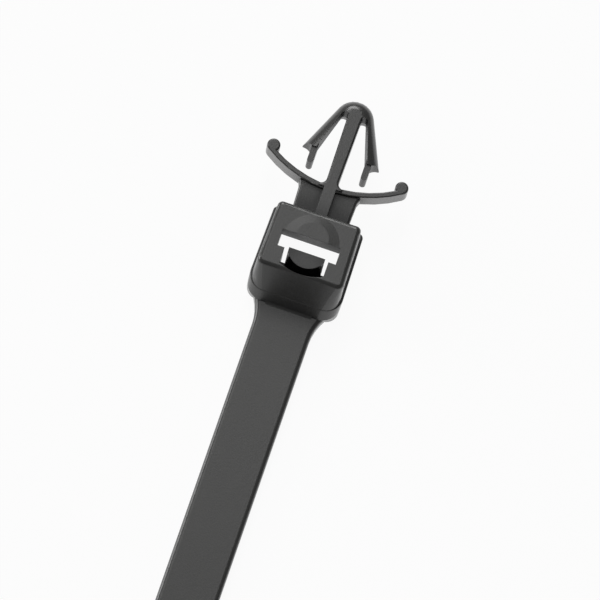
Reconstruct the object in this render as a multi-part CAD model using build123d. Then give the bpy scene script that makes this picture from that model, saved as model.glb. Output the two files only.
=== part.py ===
from build123d import *
import math
import os

# Push-mount cable tie, moulded in one piece of nylon. It lies on its toothed side.
# Millimetres. X runs across the strap, Y along it towards the barb, Z up.
# The origin is the middle of the strap slot, on the face where the strap goes in.

# Whole tie
overall_length = 200.0
strap_width = 4.9
strap_thickness = 1.3

# Head: a wider shell below the parting line and a narrower one above it
head_depth = 4.9
parting_height = 2.35
shell_half_width = 3.93
shell_draft = 0.08
shell_overhang = 0.25
head_spread = 0.08
entry_corner_radius = 1.0
parting_step = 0.2
parting_lip = 0.02
exit_half_width = 3.62
exit_low = -2.5
exit_high = 3.05
end_draft = 0.08
end_corner_radius = 0.42
slope_angle = 29.5
slope_top_radius = 0.5
slope_foot_radius = 1.25
toe_radius = 1.55
toe_undercut = 0.41
exit_edge_radius = 0.36
entry_edge_radius = 0.15
parting_edge_radius = 0.12

# Hollow blend between the head's slope and the top of the strap
blend_half_width = 2.0
blend_radius = 0.3
blend_overlap = 0.3

# Slot for the strap, with a straight land at the exit and a flared mouth below
slot_clearance = 0.05
slot_height = 1.46
slot_land = 1.5
slot_flare_angle = 21.0
slot_side_flare = 0.3

# Low half-round pad on the exit face, above the slot
pad_radius = 2.32
pad_top_radius = 1.35
pad_margin = 0.3
pad_top_margin = 0.95
pad_rise = 0.06

# Pawl: a half-round tongue in a pocket, rooted near the entry face
pawl_half_width = 1.55
pawl_cheek = 0.25
pawl_slit = 0.33
pawl_base_height = 0.3
pawl_root_height = 0.9
pawl_tip_recess = 0.9
pawl_back = 1.0
pawl_lean = 0.38
pawl_reach = 0.44
pawl_tooth_depth = 0.28
pawl_teeth = 2
pocket_side = 1.35
pocket_bulge = 0.4

# Neck: a web with a rib on its centre line, between the head and the wings
neck_length = 2.52
neck_root_half_width = 2.37
neck_top_half_width = 2.5
neck_gusset = 0.15
web_root_thickness = 1.0
web_top_thickness = 1.4
rib_half_width = 0.5
neck_edge_radius = 0.25

# Wings: thin leaves that bow up to a round bead on each end
wing_depth = 1.9
wing_thickness = 0.45
wing_bow_radius = 9.9
bead_radius = 0.55
bead_reach = 5.53
wing_edge_radius = 0.1
bead_edge_radius = 0.15

# Post and barb
barb_depth = 2.2
post_root_half_width = 0.52
post_top_half_width = 0.61
post_root_radius = 0.5
post_edge_radius = 0.18
nose_radius = 1.65
barb_half_width = 3.3
barb_angle = 23.5
grip_height = 2.75
barb_round = 1.05
slot_top_height = 6.35
slot_top_width = 0.38
slot_top_radius = 0.18
arm_slot_draft = 7.0
arm_inner_reach = 2.05
finger_thickness = 0.53
finger_length = 1.38
finger_depth = 1.9
finger_end_radius = 0.24
finger_overlap = 0.4
ledge_hollow = 0.14

# Strap: a toothed lane between two rails, then a thin tapered tail
strap_edge_radius = 0.38
rail_edge_radius = 0.2
strap_flare_width = 0.8
strap_flare_length = 2.6
strap_root_overlap = 0.25
strap_root_depth = 0.9
lane_clearance = 0.1
lane_start = 12.0
lane_depth = 0.5
tooth_pitch = 1.25
tooth_height = 0.4
tooth_flank = 0.12
tail_length = 26.0
tail_tip_half_width = 1.6
tail_tip_radius = 1.4
tail_lift = 0.35
tail_plain = 9.0
grip_bars = 5
grip_bar_start = 4.0
grip_bar_length = 2.2
grip_bar_radius = 0.22
grip_bar_rise = 0.12
grip_bar_pitch = 1.6

# Heights and places that follow from the sizes above
middle_height = head_depth / 2
slot_half_width = strap_width / 2 + slot_clearance
slot_low = -slot_height / 2
slot_high = slot_height / 2
slope_run = math.tan(math.radians(slope_angle))
toe_low = exit_low - (head_depth - strap_thickness) * slope_run - parting_lip
entry_low = toe_low + toe_undercut
shell_high = exit_high + shell_overhang
wing_root = exit_high + neck_length + wing_thickness
bow_centre = wing_root + wing_bow_radius
shoulder = wing_root + grip_height
barb_tilt = math.radians(barb_angle)
nose_side = nose_radius * math.cos(barb_tilt)
nose_start = shoulder + (barb_half_width - nose_side) / math.tan(barb_tilt)
barb_tip = nose_start + nose_radius * (1 - math.sin(barb_tilt))
tail_end = barb_tip - overall_length
taper_start = tail_end + tail_length


def slope_at(height):
    """Where the head's slope stands along the tie at a height."""
    return exit_low - (head_depth - height) * slope_run


def head_outline(height, half_width, low, high, low_radius):
    """Level outline of the head, a little wider and with its own corner radius at the strap end."""
    wide = half_width + head_spread
    narrow = half_width - head_spread
    sheet = make_face(Polyline((-wide, low), (wide, low), (narrow, high), (-narrow, high), close=True))
    sheet = fillet(sheet.vertices().sort_by(Axis.Y)[:2], low_radius)
    sheet = fillet(sheet.vertices().sort_by(Axis.Y)[-2:], end_corner_radius)
    return Pos(0, 0, height) * sheet


def head_shell():
    """The wider half of the head. At the strap end it follows the slope, then tucks in below."""
    waist_width = shell_half_width - shell_draft * (1 - strap_thickness / parting_height)
    parting_low = slope_at(parting_height) - parting_lip
    parting_radius = slope_foot_radius + parting_step
    entry = head_outline(0, shell_half_width - shell_draft, entry_low, shell_high, entry_corner_radius)
    waist = head_outline(strap_thickness, waist_width, toe_low, shell_high, toe_radius)
    parting = head_outline(parting_height, shell_half_width, parting_low, shell_high, parting_radius)
    shell = loft([entry, waist, parting], ruled=True)
    shell = fillet(shell.faces().sort_by(Axis.Z)[-1].edges(), parting_edge_radius)
    return fillet(shell.faces().sort_by(Axis.Z)[0].edges(), entry_edge_radius)


def head_crown():
    """The narrower half of the head, from the parting line up to the exit face."""
    height = parting_height - parting_edge_radius
    wide = shell_half_width - parting_step
    root = head_outline(height, wide, slope_at(height), exit_high + end_draft, slope_foot_radius)
    exit_face = head_outline(head_depth, exit_half_width, exit_low, exit_high, slope_top_radius)
    crown = loft([root, exit_face], ruled=True)
    return fillet(crown.faces().sort_by(Axis.Z)[-1].edges(), exit_edge_radius)


def side_profile(points, half_width):
    """A solid from (y, z) points, as wide as given on both sides of the centre line."""
    face = make_face(Plane.YZ * Polyline(*points, close=True))
    return extrude(face, half_width, both=True)


def slope_blend():
    """The hollow blend that runs the slope out on the strap."""
    lean = math.radians(slope_angle)
    run = blend_radius / math.tan((math.pi / 2 + lean) / 2)
    start = (toe_low - run, strap_thickness)
    end = (toe_low + run * math.sin(lean), strap_thickness + run * math.cos(lean))
    behind = end[0] + blend_overlap
    below = strap_thickness - blend_overlap
    hollow = TangentArc(start, end, tangent=(1, 0))
    inside = Polyline(end, (behind, end[1]), (behind, below), (start[0], below), start)
    return extrude(make_face(Plane.YZ * (hollow + inside)), blend_half_width, both=True)


def strap_slot():
    """The opening that the strap runs through: straight at the exit and flared below it."""
    land_bottom = head_depth - slot_land
    mouth = slot_high + land_bottom * math.tan(math.radians(slot_flare_angle))
    side = [(slot_low, -1), (slot_low, head_depth + 1), (slot_high, head_depth + 1)]
    side = side + [(slot_high, land_bottom), (mouth, 0), (mouth, -1)]
    wide = slot_half_width + slot_side_flare
    front = [(slot_half_width, head_depth + 1), (slot_half_width, land_bottom), (wide, 0), (wide, -1)]
    front = front + [(-x, z) for x, z in reversed(front)]
    across = extrude(make_face(Plane.XZ * Polyline(*front, close=True)), mouth + 1, both=True)
    return side_profile(side, wide) & across


def pawl_pocket():
    """The clearance round the pawl, with a bowed wall behind it."""
    half = pawl_half_width + pawl_slit
    side = slot_low - pocket_side
    outline = Polyline((half, side), (half, slot_high), (-half, slot_high), (-half, side))
    bow = ThreePointArc((-half, side), (0, side - pocket_bulge), (half, side))
    pocket = extrude(make_face(outline + bow), head_depth)
    return Pos(0, 0, pawl_root_height) * pocket


def pawl():
    """The tongue that locks the strap: toothed in front, half-round behind, leaning over the slot."""
    tip = head_depth - pawl_tip_recess
    height = tip - pawl_root_height
    step = height / (pawl_teeth + 1)
    behind = slot_low - pocket_side - pocket_bulge
    points = [(behind, pawl_base_height), (slot_low, pawl_base_height), (slot_low, pawl_root_height)]
    for tooth in range(pawl_teeth + 1):
        crest = pawl_root_height + (tooth + 1) * step
        lean = pawl_reach * (tooth + 1) / (pawl_teeth + 1)
        points.append((slot_low + lean, crest))
        points.append((slot_low + lean - pawl_tooth_depth, crest))
    points.append((behind, tip))
    toothed = side_profile(points, pawl_half_width)
    half = pawl_half_width
    bow = ThreePointArc((-half, 0), (0, -pawl_back), (half, 0))
    edge = Polyline((half, 0), (half, slot_height), (-half, slot_height), (-half, 0))
    section = make_face(bow + edge)
    low = Pos(0, slot_low - pawl_cheek, 0) * section
    high = Pos(0, slot_low - pawl_cheek + pawl_lean, tip) * section
    return toothed & loft([low, high], ruled=True)


def pad():
    """The low half-round pad between the slot and the neck end of the exit face."""
    foot = Pos(0, exit_high - pad_margin - pad_radius, head_depth) * Circle(pad_radius)
    top_middle = exit_high - pad_top_margin - pad_top_radius
    top = Pos(0, top_middle, head_depth + pad_rise) * Circle(pad_top_radius)
    cone = loft([foot, top], ruled=True)
    above = Pos(0, slot_high + pad_radius, head_depth) * Box(3 * pad_radius, 2 * pad_radius, 1)
    return cone & above


def head():
    """The head with its slot, pawl and pad."""
    body = head_shell() + head_crown() + slope_blend() + pad()
    body = body - strap_slot() - pawl_pocket()
    return body + pawl()


def neck():
    """Tapered web and centre rib that carry the wings and the post."""
    bottom = exit_high - 1
    top = wing_root - wing_thickness / 2
    gusset_foot = exit_high + neck_length - neck_gusset
    gusset_top = neck_top_half_width + neck_gusset
    web_outline = Polyline(
        (-neck_root_half_width, bottom),
        (neck_root_half_width, bottom),
        (neck_top_half_width, gusset_foot),
        (gusset_top, top),
        (-gusset_top, top),
        (-neck_top_half_width, gusset_foot),
        close=True,
    )
    taper = [(bottom, web_root_thickness / 2), (top, web_top_thickness / 2)]
    taper = taper + [(y, -z) for y, z in reversed(taper)]
    web = extrude(make_face(web_outline), web_top_thickness, both=True) & side_profile(taper, gusset_top)
    sides = web.edges().filter_by(Axis.Z, reverse=True).filter_by(lambda e: abs(e.center().X) > 1)
    web = fillet(sides, neck_edge_radius)
    rib = Pos(0, (bottom + top) / 2) * Box(2 * rib_half_width, top - bottom, barb_depth)
    return Pos(0, 0, middle_height) * (web + rib)


def wings():
    """One bowed leaf across the neck with a bead standing on each end."""
    outer = wing_bow_radius + wing_thickness
    reach = math.asin(bead_reach / (outer - bead_radius))
    swing = math.degrees(reach)
    leaf = Circle(outer) - Circle(wing_bow_radius)
    wide = 2 * outer * math.sin(reach)
    deep = 2 * outer * math.cos(reach)
    wedge = make_face(Polyline((0, 0), (wide, -deep), (-wide, -deep), close=True))
    solid = extrude(leaf & wedge, wing_depth / 2, both=True)
    solid = fillet(solid.edges().filter_by(GeomType.CIRCLE), wing_edge_radius)
    bead = Cylinder(bead_radius, wing_depth)
    bead = fillet(bead.edges().filter_by(GeomType.CIRCLE), bead_edge_radius)
    for side in (-1, 1):
        solid = solid + Rot(0, 0, side * swing) * Pos(0, bead_radius - outer) * bead
    return Pos(0, bow_centre, middle_height) * solid


def flank_reach(y):
    """How far the arrowhead's straight flank stands from the centre line at a height."""
    return barb_half_width - (y - shoulder) * math.tan(barb_tilt)


def arrowhead():
    """The arrowhead before its slots are cut, with its outer edges well rounded."""
    below = shoulder - 1
    wide = flank_reach(below)
    sides = Polyline((-nose_side, nose_start), (-wide, below), (wide, below), (nose_side, nose_start))
    nose = ThreePointArc((-nose_side, nose_start), (0, barb_tip), (nose_side, nose_start))
    blank = extrude(make_face(sides + nose), barb_depth / 2, both=True)
    outer = blank.edges().filter_by(Axis.Z, reverse=True).filter_by(lambda e: e.center().Y > below + 0.1)
    blank = fillet(outer, barb_round)
    open_end = Box(3 * barb_half_width, 2 * barb_half_width, 2 * barb_depth)
    return blank - Pos(0, shoulder - barb_half_width) * open_end


def arm_slot():
    """The opening between the post and the right arm, drafted both ways from its middle."""
    top = wing_root + slot_top_height
    spread = arm_inner_reach - post_top_half_width - slot_top_width
    outline = Polyline(
        (post_root_half_width, shoulder - 1),
        (post_top_half_width, top),
        (post_top_half_width + slot_top_width, top),
        (arm_inner_reach + spread / (top - shoulder), shoulder - 1),
        close=True,
    )
    sheet = make_face(outline)
    sheet = fillet(sheet.vertices().sort_by(Axis.Y)[-2:], slot_top_radius)
    half = extrude(sheet, barb_depth, taper=-arm_slot_draft)
    return half + mirror(half, Plane.XY)


def finger():
    """The thin end of the right arm, which sits inside the panel hole."""
    low = shoulder - finger_length
    high = shoulder + finger_overlap
    centre = arm_inner_reach + finger_thickness / 2
    sheet = Pos(centre, (low + high) / 2) * Rectangle(finger_thickness, high - low)
    sheet = fillet(sheet.vertices().sort_by(Axis.Y)[:2], finger_end_radius)
    return extrude(sheet, finger_depth / 2, both=True)


def ledge():
    """The hollow under the right arm's shoulder, which sits on the panel."""
    inner = arm_inner_reach + finger_thickness
    half = (barb_half_width - inner) / 2
    crown = (inner + half, shoulder + ledge_hollow)
    bow = ThreePointArc((inner, shoulder), crown, (barb_half_width, shoulder))
    line = Line((barb_half_width, shoulder), (inner, shoulder))
    return extrude(make_face(bow + line), barb_depth, both=True)


def post():
    """The stem from the wings to the arrowhead, flared at its foot."""
    low = wing_root - wing_thickness / 2
    top = wing_root + slot_top_height + 0.5
    foot = wing_root + post_root_radius
    flare = post_root_half_width + post_root_radius
    right = Polyline((flare, low), (flare, wing_root))
    sweep_out = RadiusArc((flare, wing_root), (post_root_half_width, foot), post_root_radius)
    upper = Polyline(
        (post_root_half_width, foot),
        (post_top_half_width, top),
        (-post_top_half_width, top),
        (-post_root_half_width, foot),
    )
    sweep_in = RadiusArc((-post_root_half_width, foot), (-flare, wing_root), post_root_radius)
    left = Polyline((-flare, wing_root), (-flare, low), (flare, low))
    stem = extrude(make_face(right + sweep_out + upper + sweep_in + left), barb_depth / 2, both=True)
    rims = stem.edges().filter_by(Axis.Z, reverse=True).filter_by(Axis.X, reverse=True)
    return fillet(rims, post_edge_radius)


def barb():
    """Post, arrowhead and fingers, which snap into a round hole in a panel."""
    head_part = arrowhead()
    for slot in (arm_slot(), mirror(arm_slot(), Plane.YZ), ledge(), mirror(ledge(), Plane.YZ)):
        head_part = head_part - slot
    whole = head_part + post() + finger() + mirror(finger(), Plane.YZ)
    return Pos(0, 0, middle_height) * whole


def tooth_lane():
    """The lane cut in the strap's underside, with its row of saw teeth left standing."""
    root = lane_depth
    crest = lane_depth - tooth_height
    last = taper_start
    points = [(-lane_start, -1), (-lane_start, root)]
    y = -lane_start - 2 * tooth_pitch
    while y - tooth_pitch > last:
        points.append((y, root))
        points.append((y - tooth_flank, crest))
        y = y - tooth_pitch
    end = tail_end + tail_plain
    points.append((y, root))
    points.append((end, root))
    points.append((end, -1))
    return side_profile(points, pawl_half_width + lane_clearance)


def strap():
    """The band from the head to the tail, with rounded edges, lane, taper and grip bars."""
    half = strap_width / 2
    foot = half + strap_flare_width
    root = entry_low + strap_root_overlap
    flare_start = root - strap_flare_length
    deep = root + strap_root_depth
    edge = Polyline(
        (half, flare_start),
        (half, taper_start),
        (tail_tip_half_width, tail_end),
        (-tail_tip_half_width, tail_end),
        (-half, taper_start),
        (-half, flare_start),
    )
    left_flare = TangentArc((-half, flare_start), (-foot, root), tangent=(0, 1))
    right_flare = TangentArc((half, flare_start), (foot, root), tangent=(0, 1))
    inside = Polyline((-foot, root), (-half, deep), (half, deep), (foot, root))
    sheet = make_face(edge + left_flare + inside + right_flare)
    sheet = fillet(sheet.vertices().sort_by(Axis.Y)[:2], tail_tip_radius)
    band = extrude(sheet, strap_thickness)
    band = fillet(band.faces().sort_by(Axis.Z)[-1].edges(), strap_edge_radius)
    band = fillet(band.faces().sort_by(Axis.Z)[0].edges(), rail_edge_radius)
    underside = [(taper_start, -1), (taper_start, 0), (tail_end - 1, tail_lift), (tail_end - 1, -1)]
    band = band - side_profile(underside, strap_width)
    band = band - tooth_lane()
    centre = strap_thickness + grip_bar_rise - grip_bar_radius
    for count in range(grip_bars):
        y = tail_end + grip_bar_start + count * grip_bar_pitch
        band = band + Pos(0, y, centre) * Rot(0, 90, 0) * Cylinder(grip_bar_radius, grip_bar_length)
    return band


def cable_tie():
    """The whole moulding as one solid."""
    body = head() + strap()
    return body + neck() + wings() + barb()


os.makedirs("parts", exist_ok=True)
tie = cable_tie().solid()
tie.label = "tie"
export_step(tie, "parts/tie.step")
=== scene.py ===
import math

import bmesh
import bpy
from mathutils import Matrix, Vector

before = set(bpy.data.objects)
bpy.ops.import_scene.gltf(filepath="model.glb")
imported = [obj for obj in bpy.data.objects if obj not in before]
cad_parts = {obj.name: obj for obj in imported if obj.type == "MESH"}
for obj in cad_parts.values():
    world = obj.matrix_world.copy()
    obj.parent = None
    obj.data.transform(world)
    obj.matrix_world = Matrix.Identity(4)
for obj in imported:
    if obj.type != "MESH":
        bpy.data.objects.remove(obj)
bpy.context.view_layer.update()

# Camera: it looks down on the smooth side of the tie, tipped towards the tail,
# through a very long lens, because the photograph shows no perspective.
pixels_per_metre = 12300.0
picture_width = 600.0
lens = 500.0
sensor = 36.0
nearest_seen = 0.01
furthest_seen = 10.0
view_direction = Vector((0.024, -0.300, 0.953)).normalized()
strap_slant = math.radians(-18.8)
exit_face_middle = Vector((0.0, 0.000235, 0.0049))
exit_face_pixel = (310.2, 244.1)

across = (Vector((1, 0, 0)) - view_direction * view_direction.x).normalized()
upward = view_direction.cross(across)
right_hand = across * math.cos(strap_slant) - upward * math.sin(strap_slant)
up_hand = across * math.sin(strap_slant) + upward * math.cos(strap_slant)
offset_right = (picture_width / 2 - exit_face_pixel[0]) / pixels_per_metre
offset_up = (exit_face_pixel[1] - picture_width / 2) / pixels_per_metre
aim = exit_face_middle + right_hand * offset_right + up_hand * offset_up
distance = lens / sensor * picture_width / pixels_per_metre
camera_data = bpy.data.cameras.new("camera")
camera_data.lens = lens
camera_data.sensor_width = sensor
camera_data.clip_start = nearest_seen
camera_data.clip_end = furthest_seen
camera = bpy.data.objects.new("camera", camera_data)
bpy.context.scene.collection.objects.link(camera)
turn = Matrix((right_hand, up_hand, view_direction)).transposed().to_4x4()
camera.matrix_world = Matrix.Translation(aim + view_direction * distance) @ turn
bpy.context.scene.camera = camera
bpy.context.scene.view_settings.view_transform = "Standard"

# Floor: a plain white sheet of card under the tie. Most of the white that the camera
# sees is its own, so the shadow stays faint; as light it only gives back what falls on it.
floor_reach = 1.5
floor_own_white = 0.94
paper_white = (0.9, 0.9, 0.9, 1)
floor_mesh = bmesh.new()
bmesh.ops.create_grid(floor_mesh, x_segments=1, y_segments=1, size=floor_reach)
floor_data = bpy.data.meshes.new("floor")
floor_mesh.to_mesh(floor_data)
floor_mesh.free()
floor = bpy.data.objects.new("floor", floor_data)
bpy.context.scene.collection.objects.link(floor)
card = bpy.data.materials.new("white_card")
card.use_nodes = True
nodes = card.node_tree.nodes
links = card.node_tree.links
nodes.clear()
card_out = nodes.new("ShaderNodeOutputMaterial")
card_mix = nodes.new("ShaderNodeMixShader")
card_paper = nodes.new("ShaderNodeBsdfDiffuse")
card_paper.inputs["Color"].default_value = paper_white
card_white = nodes.new("ShaderNodeEmission")
card_white.inputs["Color"].default_value = (1, 1, 1, 1)
card_ray = nodes.new("ShaderNodeLightPath")
seen = nodes.new("ShaderNodeMath")
seen.operation = "MAXIMUM"
seen_through = nodes.new("ShaderNodeMath")
seen_through.operation = "MAXIMUM"
share = nodes.new("ShaderNodeMath")
share.operation = "MULTIPLY"
share.inputs[1].default_value = floor_own_white
links.new(card_ray.outputs["Is Camera Ray"], seen.inputs[0])
links.new(card_ray.outputs["Is Glossy Ray"], seen.inputs[1])
links.new(seen.outputs[0], seen_through.inputs[0])
links.new(card_ray.outputs["Is Transmission Ray"], seen_through.inputs[1])
links.new(seen_through.outputs[0], share.inputs[0])
links.new(share.outputs[0], card_mix.inputs["Fac"])
links.new(card_paper.outputs[0], card_mix.inputs[1])
links.new(card_white.outputs[0], card_mix.inputs[2])
links.new(card_mix.outputs[0], card_out.inputs["Surface"])
floor_data.materials.append(card)

# Lamps and room: a large soft box above the barb end, a low lamp on the left, a weak
# one overhead that brings out the flat faces, and a dim room whose walls look white
# only where the camera sees past the floor.
soft_box_place = Vector((-0.24, 0.72, 0.56))
soft_box_size = 0.42
soft_box_power = 3.4
side_lamp_place = Vector((-0.50, 0.02, 0.13))
side_lamp_size = 0.3
side_lamp_power = 1.3
top_lamp_place = Vector((-0.18, 0.24, 0.62))
top_lamp_size = 0.36
top_lamp_power = 0.64
room_grey = 0.17
for name, place, size, power in (
    ("soft_box", soft_box_place, soft_box_size, soft_box_power),
    ("side_lamp", side_lamp_place, side_lamp_size, side_lamp_power),
    ("top_lamp", top_lamp_place, top_lamp_size, top_lamp_power),
):
    lamp_data = bpy.data.lights.new(name, "AREA")
    lamp_data.size = size
    lamp_data.energy = power
    lamp = bpy.data.objects.new(name, lamp_data)
    bpy.context.scene.collection.objects.link(lamp)
    lamp.location = place
    lamp.rotation_euler = (-place).to_track_quat("-Z", "Y").to_euler()
world = bpy.data.worlds.new("room")
bpy.context.scene.world = world
world.use_nodes = True
nodes = world.node_tree.nodes
links = world.node_tree.links
walls = nodes["Background"]
walls.inputs["Color"].default_value = (room_grey, room_grey, room_grey, 1)
white_wall = nodes.new("ShaderNodeBackground")
white_wall.inputs["Color"].default_value = (1, 1, 1, 1)
room_ray = nodes.new("ShaderNodeLightPath")
room_mix = nodes.new("ShaderNodeMixShader")
links.new(room_ray.outputs["Is Camera Ray"], room_mix.inputs["Fac"])
links.new(walls.outputs[0], room_mix.inputs[1])
links.new(white_wall.outputs[0], room_mix.inputs[2])
links.new(room_mix.outputs[0], nodes["World Output"].inputs["Surface"])

# Tie: strap, head, pawl, wings and barb are one moulding of black nylon, made in one shot,
# so one material covers it: a satin skin with the fine grain of a spark-eroded mould,
# flow marks along the strap, slightly broken edges, rougher hollows, and painted shade
# that darkens the colour in hollows, corners and under the wings.
nylon_black = (0.030, 0.030, 0.029, 1)
nylon_grey = (0.044, 0.044, 0.042, 1)
nylon_ior = 1.53
grain_per_metre = 8000
grain_detail = 2.0
grain_height = 0.00001
flow_marks_per_metre = (420, 60, 420)
flow_mark_detail = 3.0
satin_low = 0.28
satin_high = 0.38
edge_break = 0.00006
edge_samples = 6
skin_sheen = 0.5
skin_sheen_roughness = 0.2
skin_sheen_ior = 1.5
# Painted shade: the near-black colour that occluded hollows and corners are darkened to.
painted_shade_black = (0.006, 0.006, 0.006, 1)
hollow_reach = 0.002
hollow_open = 0.98
hollow_shut = 0.7
hollow_dullness = 0.3
hollow_samples = 12
nylon = bpy.data.materials.new("nylon")
nylon.use_nodes = True
nodes = nylon.node_tree.nodes
links = nylon.node_tree.links
skin = nodes["Principled BSDF"]
skin.inputs["IOR"].default_value = nylon_ior
skin.inputs["Coat Weight"].default_value = skin_sheen
skin.inputs["Coat Roughness"].default_value = skin_sheen_roughness
skin.inputs["Coat IOR"].default_value = skin_sheen_ior
place = nodes.new("ShaderNodeTexCoord")
along = nodes.new("ShaderNodeMapping")
along.inputs["Scale"].default_value = flow_marks_per_metre
links.new(place.outputs["Object"], along.inputs["Vector"])
flow = nodes.new("ShaderNodeTexNoise")
flow.inputs["Scale"].default_value = 1.0
flow.inputs["Detail"].default_value = flow_mark_detail
links.new(along.outputs["Vector"], flow.inputs["Vector"])
tint = nodes.new("ShaderNodeMix")
tint.data_type = "RGBA"
tint.inputs["A"].default_value = nylon_black
tint.inputs["B"].default_value = nylon_grey
links.new(flow.outputs["Fac"], tint.inputs["Factor"])
# Painted shade: ambient occlusion darkens the colour towards near-black in hollows,
# corners and under the wings; the same mask also makes them rougher.
hollow = nodes.new("ShaderNodeAmbientOcclusion")
hollow.samples = hollow_samples
hollow.only_local = True
hollow.inputs["Distance"].default_value = hollow_reach
painted_shade_and_dullness_mask = nodes.new("ShaderNodeMapRange")
painted_shade_and_dullness_mask.inputs["From Min"].default_value = hollow_open
painted_shade_and_dullness_mask.inputs["From Max"].default_value = hollow_shut
links.new(hollow.outputs["AO"], painted_shade_and_dullness_mask.inputs["Value"])
# Painted shade: the colour is mixed towards near-black where the occlusion mask is high.
painted_shade_mix = nodes.new("ShaderNodeMix")
painted_shade_mix.data_type = "RGBA"
painted_shade_mix.inputs["B"].default_value = painted_shade_black
links.new(painted_shade_and_dullness_mask.outputs["Result"], painted_shade_mix.inputs["Factor"])
links.new(tint.outputs["Result"], painted_shade_mix.inputs["A"])
links.new(painted_shade_mix.outputs["Result"], skin.inputs["Base Color"])
satin = nodes.new("ShaderNodeMapRange")
satin.inputs["To Min"].default_value = satin_low
satin.inputs["To Max"].default_value = satin_high
links.new(flow.outputs["Fac"], satin.inputs["Value"])
dull = nodes.new("ShaderNodeMath")
dull.operation = "MULTIPLY_ADD"
dull.inputs[1].default_value = hollow_dullness
links.new(painted_shade_and_dullness_mask.outputs["Result"], dull.inputs[0])
links.new(satin.outputs["Result"], dull.inputs[2])
links.new(dull.outputs[0], skin.inputs["Roughness"])
grain = nodes.new("ShaderNodeTexNoise")
grain.inputs["Scale"].default_value = grain_per_metre
grain.inputs["Detail"].default_value = grain_detail
links.new(place.outputs["Object"], grain.inputs["Vector"])
relief = nodes.new("ShaderNodeBump")
relief.inputs["Strength"].default_value = 1.0
relief.inputs["Distance"].default_value = grain_height
links.new(grain.outputs["Fac"], relief.inputs["Height"])
edges = nodes.new("ShaderNodeBevel")
edges.samples = edge_samples
edges.inputs["Radius"].default_value = edge_break
links.new(edges.outputs["Normal"], relief.inputs["Normal"])
links.new(relief.outputs["Normal"], skin.inputs["Normal"])
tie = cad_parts["tie"]
tie.data.materials.clear()
tie.data.materials.append(nylon)
